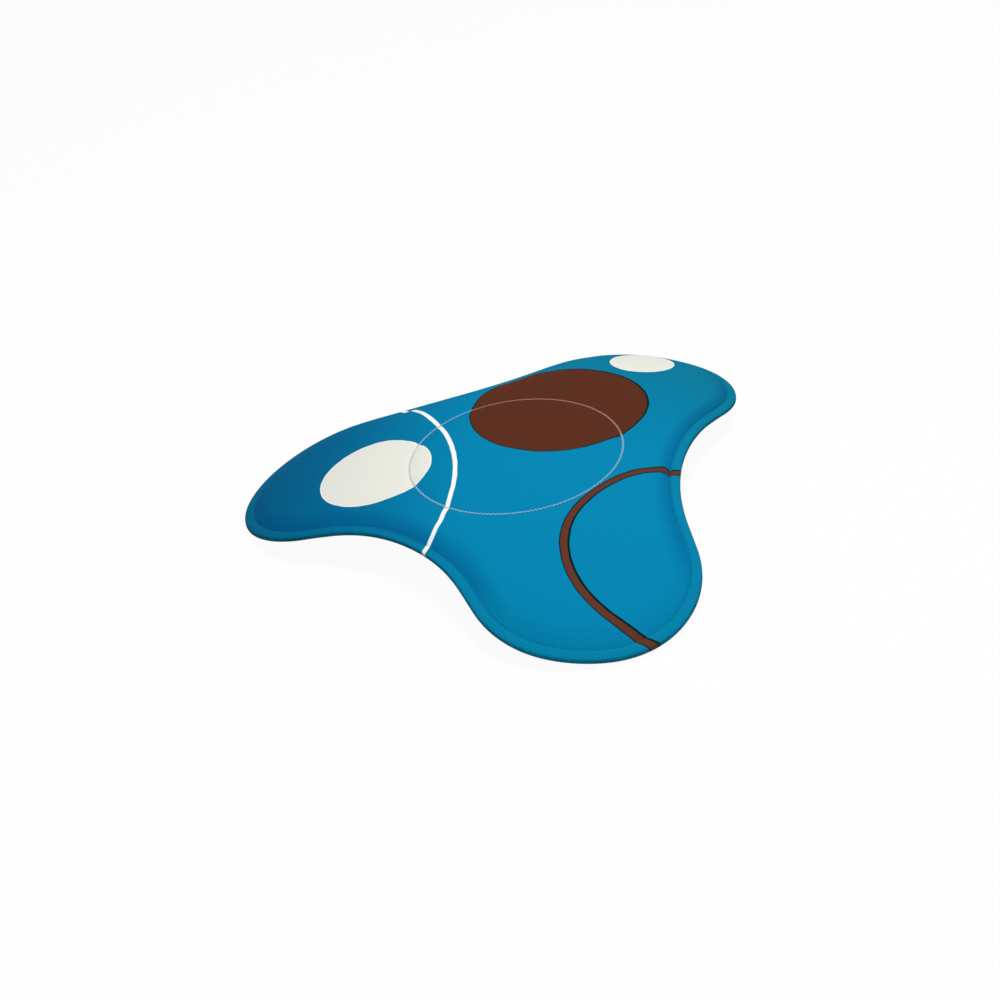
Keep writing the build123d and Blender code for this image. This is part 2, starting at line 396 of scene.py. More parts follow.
# %% slack surface
RING_DEPTH = 1.5 * MM
RING_BANK = 11 * MM  # half of the valley
FOAM_WAVER = 0.25 * MM
WAVERS_PER_METRE = 18
LOOSE_SIDE = radians(205)
LOOSE_FROM, LOOSE_FULLY = -0.3, 0.6  # cosines of the angle to that side


def ring_dip(x, y):
    """How far the ring stitch pulls the cover down."""
    return RING_DEPTH * max(1 - abs(hypot(x, y) - RING_RADIUS) / RING_BANK, 0) ** 2


def waver(x, y):
    """A hand's breadth of unevenness in the foam."""
    return FOAM_WAVER * noise.noise(Vector((x, y, 0)) * WAVERS_PER_METRE)


def softness(x, y):
    return smooth(LOOSE_FROM, LOOSE_FULLY, cos(atan2(y, x) - LOOSE_SIDE))


def slack_surface(x, y, inset):
    """The upper cover before the foam swells it."""
    padded = smooth(PAD_FOOT, PAD_FOOT + PAD_SHOULDER, inset)
    height = cover_height(inset, softness(x, y))
    return crown(x, y, height) - ring_dip(x, y) + padded * waver(x, y)


print(f"the valley lies at {slack_surface(RING_RADIUS, 0, PAD_SHOULDER) / MM:.1f} mm")

# %% [markdown]
# ## Swelling the pad
#
# The foam presses the canvas up between its two rows of stitches, and cloth under pressure finds
# its own shape.  Blowing up the finished cover would wreck its narrow seam, so a coarse square
# grid of cloth is laid over the pad and blown up in its place.  Points at the edge seam and in
# the ring's valley are held, as the stitches hold them.

# %% lay the grid
GRID_CELL = 5 * MM
GRID_HALF = 60  # cells from the middle to the edge of the grid
GRID_LAP = 3 * MM  # how far the grid reaches out past the seam
SEAM_HOLD = 1.5 * MM  # the stitches hold this far inside the pad's foot
RING_HOLD = 3 * MM  # and this far either side of the ring


def cloth_grid(blank):
    """A grid laid on the slack pad, cut back to the seam, with a group of the held points."""
    mesh = blank.data
    insets = [item.value for item in mesh.attributes["inset"].data]
    faces = [polygon.vertices[:] for polygon in mesh.polygons]
    tree = BVHTree.FromPolygons([vert.co for vert in mesh.vertices], faces)
    bm = bmesh.new()
    bmesh.ops.create_grid(bm, x_segments=2 * GRID_HALF, y_segments=2 * GRID_HALF,
                          size=GRID_HALF * GRID_CELL)
    held = []
    outside = []
    kept = 0
    for vert in bm.verts:
        place, _, face, _ = tree.ray_cast(vert.co + UP, -UP)
        inset = sum(insets[i] for i in faces[face]) / len(faces[face]) if place else 0
        if inset < SEAM_INSET - GRID_LAP:
            outside.append(vert)
            continue
        vert.co.z = place.z
        off_ring = abs(vert.co.xy.length - RING_RADIUS)
        if inset < PAD_FOOT + SEAM_HOLD or off_ring < RING_HOLD:
            held.append(kept)
        kept += 1
    bmesh.ops.delete(bm, geom=outside, context="VERTS")
    grid = finished(bm, "cloth_grid")
    grid.vertex_groups.new(name="held").add(held, 1.0, "REPLACE")
    return grid


print(f"a grid {2 * GRID_HALF * GRID_CELL / MM:.0f} mm wide, in cells of {GRID_CELL / MM:.0f} mm")

# %% [markdown]
# The grid is blown up for twenty frames without gravity.  Cloth modifiers know no limit, so a
# soft cap keeps every point under a couple of millimetres.  The rise is kept as a field on the
# grid, and every padded layer reads it there, blended between the cells.  So the fine sheets take
# the swollen shape, and no live cloth is left in the scene.

# %% blow up the grid
PRESSURE = 1.0
SLACK_SHARE = 0.002  # the cloth is cut this much too large
BENDING_STIFFNESS = 5.0
SWELL_FRAMES = 20
SWELL_CAP = 1.7 * MM


def swell(grid):
    """Blows the grid up and returns how far it rose, by cell."""
    cloth = grid.modifiers.new("cloth", "CLOTH")
    cloth.settings.vertex_group_mass = "held"
    cloth.settings.use_pressure = True
    cloth.settings.uniform_pressure_force = PRESSURE
    cloth.settings.shrink_min = -SLACK_SHARE
    cloth.settings.bending_stiffness = BENDING_STIFFNESS
    cloth.settings.effector_weights.gravity = 0
    cloth.point_cache.frame_end = SWELL_FRAMES
    scene = bpy.context.scene
    for step in range(1, SWELL_FRAMES + 1):
        scene.frame_set(step)
    blown = grid.evaluated_get(bpy.context.evaluated_depsgraph_get()).to_mesh()
    rises = {}
    for slack, full in zip(grid.data.vertices, blown.vertices):
        cell = (round(slack.co.x / GRID_CELL), round(slack.co.y / GRID_CELL))
        rises[cell] = SWELL_CAP * tanh((full.co.z - slack.co.z) / SWELL_CAP)
    scene.frame_set(1)
    return rises


# %% read the rise
RISE_START = 4 * MM  # the swelling comes in over this much of the shoulder
rises = {}


def blend(t):
    """Weights of four neighbours in a row for a place between the middle two."""
    return ((1 - t) ** 3 / 6, (3 * t**3 - 6 * t**2 + 4) / 6,
            (-3 * t**3 + 3 * t**2 + 3 * t + 1) / 6, t**3 / 6)


def rise(x, y):
    """How far the grid rose at a place between its points."""
    column, row = int(x // GRID_CELL), int(y // GRID_CELL)
    across, along = blend(x / GRID_CELL - column), blend(y / GRID_CELL - row)
    return sum(a * b * rises.get((column + i - 1, row + j - 1), 0)
               for i, a in enumerate(across) for j, b in enumerate(along))


def cover_surface(x, y, inset):
    """The upper cover, swollen."""
    return slack_surface(x, y, inset) + rise(x, y) * smooth(PAD_FOOT, PAD_FOOT + RISE_START, inset)


# %% swell the pad
BLANK_BANDS = in_mm(0, 4, 8, 9, 10, 11, 12, 13, 14, 16, 18, 21, 25, 30, 40)
BLANK_CIRCLES = in_mm(114, 110, 107, 104, 100, 80, 55, 30, 12)

blank = lobed_sheet("pad_blank", BLANK_BANDS, 10, BLANK_CIRCLES, slack_surface)
grid = cloth_grid(blank)
rises = swell(grid)
bpy.data.objects.remove(grid)
bpy.data.objects.remove(blank)
print(f"the pad rose by up to {max(rises.values(), default=0) / MM:.2f} mm")

# %% [markdown]
# ## Closing the layers
#
# A sheet has no thickness, and cloth, foam and board have.  Even layers get a Solidify modifier,
# which is simplest.  The lower cover, the foam and the hem change their thickness, so they are
# slabs: the sheet, a copy of it at its lower height, and a bridge round each edge.

# %% slab and wall helpers
def to_slab(sheet, lower):
    """Closes a sheet with a copy of it at another height, bridged round each edge."""
    bm = bmesh.new()
    bm.from_mesh(sheet.data)
    layer = bm.verts.layers.float["inset"]
    edges = [edge for edge in bm.edges if edge.is_boundary]
    made = bmesh.ops.duplicate(bm, geom=bm.verts[:] + bm.edges[:] + bm.faces[:])["geom"]
    for item in made:
        if isinstance(item, bmesh.types.BMVert):
            item.co.z = lower(item.co.x, item.co.y, item[layer])
    edges += [item for item in made if isinstance(item, bmesh.types.BMEdge) and item.is_boundary]
    underside = [item for item in made if isinstance(item, bmesh.types.BMFace)]
    bmesh.ops.reverse_faces(bm, faces=underside)
    places = {edge: round(edge.verts[0][layer], 6) for edge in edges}
    for place in set(places.values()):
        bmesh.ops.bridge_loops(bm, edges=[edge for edge in edges if places[edge] == place])
    bmesh.ops.recalc_face_normals(bm, faces=bm.faces[:])
    bm.to_mesh(sheet.data)
    bm.free()
    return sheet


def add_wall(sheet, thickness):
    """Gives a sheet its thickness, downwards."""
    wall = sheet.modifiers.new("wall", "SOLIDIFY")
    wall.thickness = thickness
    wall.offset = -1
    wall.use_even_offset = True
    return sheet


# %% [markdown]
# ## Lower cover
#
# A plain brown canvas closes the board from below.  It is one cloth's thickness everywhere, but
# it is drawn up round the rim, so its underside rolls there, and a slab shows that where an even
# wall would leave a square edge.

# %% lower cover
INNER_CIRCLES = in_mm(114, 110, 107, 100, 80, 55, 30, 12)
SOLE_ROLL = 0.9 * MM
SOLE_ROLL_REACH = 1.6 * MM


def sole_height(inset):
    """The lower cover's underside rolls up a little at the rim."""
    return SOLE_ROLL * max(1 - inset / SOLE_ROLL_REACH, 0) ** 2


lower_cover = to_slab(
    lobed_sheet("lower_cover", in_mm(0, 0.3, 0.8, 1.5, 3, 6, 12, 20, 30, 40), 8, INNER_CIRCLES,
                lambda x, y, inset: skirt(x, y, CLOTH)),
    lambda x, y, inset: skirt(x, y, sole_height(inset)))

# %% [markdown]
# ## Moulded board
#
# A stiff moulded sheet keeps the arch.  It stops short of the edge stitch, because nobody sews
# through it, and its wall is even, so one sheet and a Solidify modifier do.

# %% moulded board
CORE_WALL = 3 * MM
CORE_TOP = CLOTH + GAP + CORE_WALL

core_board = add_wall(
    lobed_sheet("moulded_core", in_mm(15, 18, 26, 40), 8, INNER_CIRCLES,
                lambda x, y, inset: skirt(x, y, CORE_TOP)), CORE_WALL)

# %% [markdown]
# ## Foam
#
# The foam fills the room between the board and the upper cover.  A plain slab of foam would show
# none of the swelling, so its top follows the cover's underside, and the two can't touch.

# %% foam
foam = to_slab(
    lobed_sheet("foam_sheet", in_mm(15, 17, 20, 24, 30, 40), 8, INNER_CIRCLES,
                lambda x, y, inset: cover_surface(x, y, inset) - CLOTH - GAP),
    lambda x, y, inset: skirt(x, y, CORE_TOP + GAP / 2))

# %% [markdown]
# ## Turned-in hem
#
# Both covers' edges are turned in, and fill the flange as one soft band.  The seam pinches it, so
# it is a slab as well: an even band would poke through the cover at the stitch.

# %% hem
hem = to_slab(
    lobed_sheet("turned_in_hem", in_mm(1.8, 4, 6.5, 8, 9, 9.8, 10.6, 11.8), 0, None,
                lambda x, y, inset: cover_surface(x, y, inset) - CLOTH - GAP / 2),
    lambda x, y, inset: skirt(x, y, CLOTH + GAP / 2))

# %% [markdown]
# ## The upper cover
#
# The printed canvas is the piece that everyone sees.  A fine even mesh would need millions of
# faces for its seam, so its bands are closest together only where it bends: over the rim, down
# into the edge stitch, up the shoulder and through the ring's valley.

# %% upper cover
RIM_BANDS = in_mm(-1.3, -0.6, 0, 0.15, 0.4, 0.8, 1.3, 2, 3.5, 5.5, 7.2, 8.2)
SEAM_BANDS = in_mm(9, 9.5, 9.8, 10.2, 10.6, 11.1, 11.7, 12.4, 13.2, 14.1)
SHOULDER_BANDS = in_mm(15, 16, 17.2, 19, 21.5, 24.5, 28, 32, 36, 40)
VALLEY_CIRCLES = in_mm(116, 114, 112, 110.5, 109.3, 108.4, 107.6, 107, 106.4, 105.6, 104.7, 103.5,
                       102, 100, 98)
CROWN_CIRCLES = in_mm(94, 88, 80, 70, 58, 45, 32, 20, 10, 4)

cover = lobed_sheet("upper_cover", RIM_BANDS + SEAM_BANDS + SHOULDER_BANDS, 14,
                    VALLEY_CIRCLES + CROWN_CIRCLES, cover_surface)
add_wall(cover, CLOTH)

# %% [markdown]
# ## Edge stitch
#
# Two rows of sewing hold the board together.  A lockstitch runs round the flange, about 3 mm a
# stitch, and shows above and below.  One long tube would look like a cord, so each stitch is a
# small lens of thread, laid on the cloth along its own direction.  There are more than a thousand
# of them, so a lens has only twenty faces.

# %% stitch helpers
THREAD = 0.9 * MM
STITCH_LAP = 1.04  # a lens is this much longer than its stitch, because its ends are points


def lay_stitch(bm, start, end, width, lift):
    """One stitch from point to point, half sunk in the cloth."""
    along = end - start
    side = UP.cross(along).normalized()
    out = along.cross(side).normalized()
    turn = Matrix((along.normalized(), side, out)).transposed().to_4x4()
    size = Matrix.Diagonal((along.length / 2 * STITCH_LAP, width / 2, width / 2, 1))
    place = Matrix.Translation((start + end) / 2 + out * lift)
    bmesh.ops.create_icosphere(bm, subdivisions=1, radius=1, matrix=place @ turn @ size)


def along_line(line, spacing):
    """Points at even spacing along a closed line."""
    pairs = list(zip(line, line[1:] + line[:1]))
    whole = sum((b - a).length for a, b in pairs)
    count = round(whole / spacing)
    step = whole / count
    points = []
    left = 0.0
    for a, b in pairs:
        length = (b - a).length
        while left < length - 1e-9:
            points.append(a.lerp(b, left / length))
            left += step
        left -= length
    return points[:count]


def raised(points, height):
    """Points of the plan at a height that depends on where they are."""
    return [Vector((point.x, point.y, height(point.x, point.y))) for point in points]


# %% edge stitch
STITCH_LENGTH = 3.0 * MM
STITCH_GAP = 0.1  # the share of a stitch that is down its hole, at each end
STITCH_PROUD = 0.05 * MM

guide = bmesh.new()
guide_face = rim_face(guide)
inset_band(guide, guide_face, SEAM_INSET)
seam_line = [Vector((*settled(vert.co.x, vert.co.y), 0)) for vert in guide_face.verts]
guide.free()

bm = bmesh.new()
knots = along_line(seam_line, STITCH_LENGTH)
for start, end in zip(knots, knots[1:] + knots[:1]):
    ends = start.lerp(end, STITCH_GAP), start.lerp(end, 1 - STITCH_GAP)
    above = raised(ends, lambda x, y: cover_surface(x, y, SEAM_INSET))
    lay_stitch(bm, *above, THREAD, STITCH_PROUD)
    below = raised(ends, lambda x, y: skirt(x, y, 0))
    lay_stitch(bm, *below, THREAD, -STITCH_PROUD)
edge_threads = finished(bm, "edge_threads")
print(f"{len(knots)} stitches a side")

# %% [markdown]
# ## Ring stitch
#
# A zigzag runs round the crown, about 4 mm a turn, and sews the grip patch down.  It is laid with
# the same lenses from corner to corner.  The thread above is thicker and stands on the cloth, so
# that it reads as a pale dotted line from a distance; below, it lies in the patch's shallow
# channel.

# %% ring stitch
ZIGZAG = 3.3 * MM  # across
TURN_LENGTH = 4 * MM
TURNS = round(2 * pi * RING_RADIUS / TURN_LENGTH)
ZIGZAG_GAP = 0.06
RING_THREAD = 1.5 * MM
RING_THREAD_PROUD = 0.35 * MM
CHANNEL_THREAD_Z = 0.35 * MM
WELL_INSIDE = 80 * MM  # an inset at which the pad has its full height

bm = bmesh.new()
corners = []
for index in range(2 * TURNS):
    angle = pi * index / TURNS
    corners.append(polar(RING_RADIUS + (ZIGZAG / 2 if index % 2 else -ZIGZAG / 2), angle))
for start, end in zip(corners, corners[1:] + corners[:1]):
    ends = start.lerp(end, ZIGZAG_GAP), start.lerp(end, 1 - ZIGZAG_GAP)
    above = raised(ends, lambda x, y: cover_surface(x, y, WELL_INSIDE))
    lay_stitch(bm, *above, RING_THREAD, RING_THREAD_PROUD)
    below = raised(ends, lambda x, y: CHANNEL_THREAD_Z)
    lay_stitch(bm, *below, THREAD, 0)
ring_threads = finished(bm, "ring_threads")
print(f"{TURNS} turns of the zigzag")

# %% [markdown]
# ## Node helpers
#
# A finish is a tree of nodes.  It could be drawn in the shader editor, but a script can't be
# handed a drawing, so each helper adds one node, links its inputs and returns its output.  A
# finish then reads like a formula, from the inside out.

# %% colours and finishes
def to_linear(red, green, blue):
    """A colour as a screen shows it, 0 to 255, turned into the shader's own scale."""
    scale = [value / 255 for value in (red, green, blue)]
    return [v / 12.92 if v <= 0.04045 else ((v + 0.055) / 1.055) ** 2.4 for v in scale] + [1.0]


def new_finish(name):
    finish = bpy.data.materials.new(name)
    finish.use_nodes = True
    return finish, finish.node_tree, finish.node_tree.nodes["Principled BSDF"]


def feed(tree, socket, value):
    """Sets a socket to a constant, or links it to another socket."""
    if isinstance(value, bpy.types.NodeSocket):
        tree.links.new(value, socket)
    else:
        socket.default_value = value


# %% maths and colour nodes
def maths(tree, operation, *inputs):
    node = tree.nodes.new("ShaderNodeMath")
    node.operation = operation
    for socket, value in zip(node.inputs, inputs):
        feed(tree, socket, value)
    return node.outputs[0]


def times(tree, first, second):
    return maths(tree, "MULTIPLY", first, second)


def vector_maths(tree, operation, *inputs):
    node = tree.nodes.new("ShaderNodeVectorMath")
    node.operation = operation
    for socket, value in zip(node.inputs, inputs):
        feed(tree, socket, value)
    scalar = operation in ("DISTANCE", "DOT_PRODUCT", "LENGTH")
    return node.outputs["Value" if scalar else "Vector"]


def ramp(tree, value, low, high, start=0.0, end=1.0):
    """A smooth step from start, at low, to end, at high."""
    node = tree.nodes.new("ShaderNodeMapRange")
    node.interpolation_type = "SMOOTHSTEP"
    for name, number in (("Value", value), ("From Min", low), ("From Max", high),
                         ("To Min", start), ("To Max", end)):
        feed(tree, node.inputs[name], number)
    return node.outputs["Result"]


def mix_colours(tree, share, first, second, mode="MIX"):
    node = tree.nodes.new("ShaderNodeMix")
    node.data_type = "RGBA"
    node.blend_type = mode
    feed(tree, node.inputs[0], share)
    feed(tree, node.inputs[6], first)
    feed(tree, node.inputs[7], second)
    return node.outputs[2]


# %% place and pattern nodes
def object_point(tree):
    """The point's place on the object, in metres."""
    return tree.nodes.new("ShaderNodeTexCoord").outputs["Object"]


def way(tree, point, direction):
    """How far a point lies in one direction of the plan."""
    return vector_maths(tree, "DOT_PRODUCT", point, (*direction, 0))


def noise_value(tree, point, scale, detail=2.0):
    node = tree.nodes.new("ShaderNodeTexNoise")
    feed(tree, node.inputs["Vector"], point)
    node.inputs["Scale"].default_value = scale
    node.inputs["Detail"].default_value = detail
    return node.outputs["Fac"]


def value_on_cloth(tree, name):
    """A value that the mesh carries on its vertices."""
    node = tree.nodes.new("ShaderNodeAttribute")
    node.attribute_name = name
    return node.outputs["Fac"]


def either(tree, *masks):
    """1 where any of the masks is 1."""
    whole = masks[0]
    for mask in masks[1:]:
        whole = maths(tree, "MAXIMUM", whole, mask)
    return whole


def emboss(tree, shader, height, depth):
    """Sends a height pattern, 0 to 1, to the shader as a bump of that depth."""
    node = tree.nodes.new("ShaderNodeBump")
    node.inputs["Strength"].default_value = 1.0
    node.inputs["Distance"].default_value = depth
    feed(tree, node.inputs["Height"], height)
    feed(tree, shader.inputs["Normal"], node.outputs["Normal"])


def told(finish):
    """Says how large a finished tree is."""
    print(f"{finish.name}: {len(finish.node_tree.nodes)} nodes")
    return finish


# %% [markdown]
# ## Weave
#
# The cloth is a coarse canvas: two sets of ribs, about 2.6 mm apart, cross at right angles and
# run slantwise over the board.  Real ribs would be a mesh of millions, and an image would blur
# close up.  Two sine waves on the plan make them, bent a little by noise so that no rib is ruled,
# and a fine noise gives the fuzz of the yarn.

# %% weave
RIB_PITCH = 2.6 * MM
WARP_TURN = radians(-70)  # the way the warp runs, from +X
RIB_BEND = 3.0  # how far noise bends a rib, in radians of its wave
WARP_SHARE, WEFT_SHARE, FUZZ_SHARE = 0.24, 0.20, 0.10
WEAVE_MIDDLE = 0.45


def ribs(tree, point, turn, bend):
    across = way(tree, point, (-sin(turn), cos(turn)))
    return maths(tree, "SINE", maths(tree, "ADD", times(tree, across, 2 * pi / RIB_PITCH), bend))


def weave_height(tree, point):
    """Ribs of warp and weft, and the yarn's fuzz, 0 to 1."""
    bend = times(tree, noise_value(tree, point, scale=22, detail=1.0), RIB_BEND)
    warp = times(tree, ribs(tree, point, WARP_TURN, bend), WARP_SHARE)
    weft = times(tree, ribs(tree, point, WARP_TURN + pi / 2, bend), WEFT_SHARE)
    fuzz = times(tree, noise_value(tree, point, scale=1500, detail=1.0), FUZZ_SHARE)
    whole = maths(tree, "ADD", maths(tree, "ADD", warp, weft), fuzz)
    return maths(tree, "ADD", whole, WEAVE_MIDDLE)


print(f"ribs every {RIB_PITCH / MM:.1f} mm, warp at {degrees(WARP_TURN):.0f} degrees")

# %% [markdown]
# ## Printed shapes
#
# The canvas is cream cotton, and the colours are inks printed over it.  The blue covers
# everything but the spots and stripes, and the brown is printed into the gaps that the blue
# leaves.  Cutting the shapes out of the mesh would give hard steps, so they are circles worked
# out on the plan: a spot is every point nearer to its centre than its radius, and a stripe every
# point within half its width of a circle.  The edge wanders a little, because ink creeps along
# threads.

# %% spots and stripes
SPOTS = {  # centre x, centre y, radius, in millimetres
    "brown_spot": (67.6, 64.4, 91.4),
    "large_white_spot": (-135.0, 46.3, 58.2),
    "small_white_spot": (188.8, 140.2, 34.5),
}
STRIPES = {  # centre x, centre y, radius, width, in millimetres
    "white_stripe": (-297.5, 71.5, 245.0, 4.6),
    "brown_stripe": (97.5, -203.5, 112.5, 6.6),
}
EDGE = 0.25 * MM  # half of an ink edge's blur
CREEP = 1.3 * MM
CREEPS_PER_METRE = 90


def flat_point(tree, point):
    """The point's place in plan, with the ink's creep."""
    plan = vector_maths(tree, "MULTIPLY", point, (1, 1, 0))
    creep = tree.nodes.new("ShaderNodeTexNoise")
    feed(tree, creep.inputs["Vector"], point)
    creep.inputs["Scale"].default_value = CREEPS_PER_METRE
    creep.inputs["Detail"].default_value = 3.0
    shift = vector_maths(tree, "SUBTRACT", creep.outputs["Color"], (0.5, 0.5, 0.5))
    shift = vector_maths(tree, "MULTIPLY", shift, (CREEP, CREEP, 0))
    return vector_maths(tree, "ADD", plan, shift)


def within(tree, away, reach):
    """1 where a distance is under a reach, 0 past it."""
    return ramp(tree, away, reach - EDGE, reach + EDGE, start=1.0, end=0.0)


def spot_mask(tree, plan, name, slip=(0, 0), spread=0.0):
    x, y, radius = in_mm(*SPOTS[name])
    away = vector_maths(tree, "DISTANCE", plan, (x + slip[0], y + slip[1], 0))
    return within(tree, away, radius + spread)


def stripe_mask(tree, plan, name, slip=(0, 0), spread=0.0):
    x, y, radius, width = in_mm(*STRIPES[name])
    away = vector_maths(tree, "DISTANCE", plan, (x + slip[0], y + slip[1], 0))
    away = maths(tree, "ABSOLUTE", maths(tree, "SUBTRACT", away, radius))
    return within(tree, away, width / 2 + spread)


print(f"{len(SPOTS)} spots and {len(STRIPES)} stripes")

# %% [markdown]
# ## Blue ink
#
# The blue is one ink, but it isn't one colour.  It is darkened towards the left lobe, as painted
# shade of a lobe turned from the lamp, and towards the right lobe it turns green and darker, the
# darkening painted shade of that lobe's slope.  It is thinner in clouds, and is a little faded on
# the flange.  Painting the vertices would tie that to the mesh, so each is a ramp over the plan or
# over the distance from the rim.

# %% blue ink
BLUE_INK = to_linear(3, 134, 180)
BLUE_SHADED_LEFT = to_linear(0, 95, 140)
BLUE_GREEN_SHADED = to_linear(6, 118, 148)
BLUE_THIN = to_linear(20, 136, 170)
BLUE_FADED = to_linear(10, 122, 146)
LEFT_SHADE_WAY = (0.9, -0.42)  # the painted shade is deepest the other way, on the left lobe
LEFT_SHADE_FROM, LEFT_SHADE_TO = -250 * MM, -20 * MM
# the blue turns green and darker this way; the darkening is painted shade of the right lobe's slope
GREEN_SHADE_WAY = (0.87, 0.5)
GREEN_SHADE_FROM, GREEN_SHADE_TO = 20 * MM, 280 * MM
GREEN_SHADE_SHARE, THIN_SHARE, FADED_SHARE = 0.85, 0.15, 0.3
FADED_FROM = SEAM_INSET - 2 * MM


def blue_ink(tree, point, inset, clouds):
    """The colour of the blue screen at a point, with the lobes' painted shade, before the
    shoulder's.
    """
    # painted shade: the blue darkens towards the left lobe
    left_lobe_shade = ramp(tree, way(tree, point, LEFT_SHADE_WAY), LEFT_SHADE_FROM, LEFT_SHADE_TO, start=1.0, end=0.0)
    # painted shade and hue: towards the right lobe the blue turns green and darker
    green_and_shade = ramp(tree, way(tree, point, GREEN_SHADE_WAY), GREEN_SHADE_FROM, GREEN_SHADE_TO, end=GREEN_SHADE_SHARE)
    faded = ramp(tree, inset, FADED_FROM, SEAM_INSET, start=FADED_SHARE, end=0.0)
    blue = mix_colours(tree, left_lobe_shade, BLUE_INK, BLUE_SHADED_LEFT)
    blue = mix_colours(tree, green_and_shade, blue, BLUE_GREEN_SHADED)
    blue = mix_colours(tree, times(tree, clouds, THIN_SHARE), blue, BLUE_THIN)
    return mix_colours(tree, faded, blue, BLUE_FADED)


# %% [markdown]
# Inside the edge seam the pad's shoulder slopes away from the lamp, and the blue there is
# darkened as painted shade.  The painted shade is widest on the loose side, hardly there at the
# front tip, and at a loose waist it starts nearer to the rim.  So its start and its width are ramps
# themselves, fed into the ramp of the shade.

# %% shoulder's painted shade
BLUE_SHOULDER_SHADE = to_linear(0, 87, 148)
SHOULDER_SHADE_SHARE = 0.46
SHOULDER_SHADE_START = SEAM_INSET - 1.5 * MM
SHOULDER_SHADE_FADE_IN = 6 * MM
SHOULDER_SHADE_NARROW, SHOULDER_SHADE_WIDE = 14 * MM, 24 * MM
LOOSE_WAY = (-0.75, -0.66)
WIDE_FROM, WIDE_TO = -50 * MM, 80 * MM
WAIST_NEAR, WAIST_FAR = 155 * MM, 190 * MM  # the rim comes this near to the middle at its waists
WAIST_FROM, WAIST_TO = 40 * MM, 120 * MM
WAIST_SHIFT = 5 * MM
FRONT_WAY = (-0.15, -1)
FRONT_FROM, FRONT_TO = 180 * MM, 240 * MM
FRONT_SHARE = 0.12


def shoulder_shade(tree, point, inset, blue):
    """The blue ink with the painted shade of the shoulder."""
    loose = way(tree, point, LOOSE_WAY)
    width = ramp(tree, loose, WIDE_FROM, WIDE_TO, start=SHOULDER_SHADE_NARROW, end=SHOULDER_SHADE_WIDE)
    inward = maths(tree, "DIVIDE", maths(tree, "SUBTRACT", inset, SEAM_INSET), width)
    from_middle = vector_maths(tree, "LENGTH", point)
    waist = times(tree, ramp(tree, from_middle, WAIST_NEAR, WAIST_FAR, start=1.0, end=0.0),
                  ramp(tree, loose, WAIST_FROM, WAIST_TO))
    start = maths(tree, "SUBTRACT", SHOULDER_SHADE_START, times(tree, waist, WAIST_SHIFT))
    # painted shade: the share of darkening, ramped in from the seam
    share = times(tree, ramp(tree, inward, 0.0, 1.0, start=SHOULDER_SHADE_SHARE, end=0.0),
                  ramp(tree, inset, start, maths(tree, "ADD", start, SHOULDER_SHADE_FADE_IN)))
    forward = way(tree, point, FRONT_WAY)
    front = ramp(tree, forward, FRONT_FROM, FRONT_TO, start=1.0, end=FRONT_SHARE)
    return mix_colours(tree, times(tree, share, front), blue, BLUE_SHOULDER_SHADE)


# %% [markdown]
# ## Bare cloth and brown ink
#
# In the gaps the cream cloth shows, whitest in a line along the spots' edges.  The two screens
# never line up quite: where brown runs over blue there is a dark line, and on the other side a
# hair of bare cloth.  Both could be drawn as lines of their own, but here the brown is simply
# printed a little wide and a little to the side, as the printer does it, and the lines come by
# themselves.

# %% bare cloth and brown ink
CREAM = to_linear(238, 239, 230)
CREAM_AGED = to_linear(230, 229, 214)
WHITE = to_linear(252, 253, 252)
WHITE_BORDER = 1.1 * MM
AGED_SHARE = 0.3
BROWN_INK = to_linear(91, 47, 31)
STRIPE_INK = to_linear(100, 57, 43)
OVERPRINT = to_linear(12, 30, 28)
MISREGISTER = (0.6 * MM, 0.15 * MM)  # how far the brown screen slipped
BROWN_SPREAD = 1.6 * MM  # and how much wider it prints
STRIPE_REACH = 3 * MM  # the stripe's paler brown is kept within this of the stripe


def bare_cloth(tree, plan, gaps, clouds):
    """The colour of the cloth where no blue was laid."""
    middle = either(tree, *[spot_mask(tree, plan, name, spread=-WHITE_BORDER) for name in SPOTS])
    cloth = mix_colours(tree, times(tree, clouds, AGED_SHARE), CREAM, CREAM_AGED)
    border = times(tree, gaps, maths(tree, "SUBTRACT", 1.0, middle))
    return mix_colours(tree, border, cloth, WHITE)


def with_brown(tree, plan, gaps, printed):
    """The print so far with the brown screen laid over it."""
    brown = either(tree, spot_mask(tree, plan, "brown_spot", MISREGISTER, BROWN_SPREAD),
                   stripe_mask(tree, plan, "brown_stripe", MISREGISTER, BROWN_SPREAD))
    near_stripe = stripe_mask(tree, plan, "brown_stripe", spread=STRIPE_REACH)
    ink = mix_colours(tree, near_stripe, BROWN_INK, STRIPE_INK)
    return mix_colours(tree, brown, printed, mix_colours(tree, gaps, OVERPRINT, ink))


# %% [markdown]
# ## Printed canvas
#
# The finish puts the screens together in the order of printing, and then paints shade over them:
# the ribs shade the colour slightly, more at the left rim, where the shoulder faces away from the
# lamp, and the rim's edge is darkened in patches as painted shade.  A bump alone would leave the
# ribs flat in soft light, so their shade is painted in the colour as well.

# %% painted shade of ribs and rim
RIB_DARK, RIB_LIGHT = 0.975, 1.012
LEFT_RIB_SHADE_DARK, LEFT_RIB_SHADE_LIGHT = 0.88, 1.05
LEFT_RIB_SHADE_FULL, LEFT_RIB_SHADE_END = 9 * MM, 42 * MM  # how far in from the rim the ribs' painted shade is deepened
LEFT_WAY = (-1, -0.15)
LEFT_FROM, LEFT_TO = 30 * MM, 110 * MM
RIM_EDGE_SHADE = to_linear(4, 66, 84)
RIM_SHADE_FULL, RIM_SHADE_END = 0.1 * MM, 1.0 * MM
RIM_SHADE_LEAST, RIM_SHADE_MOST = 0.25, 0.6


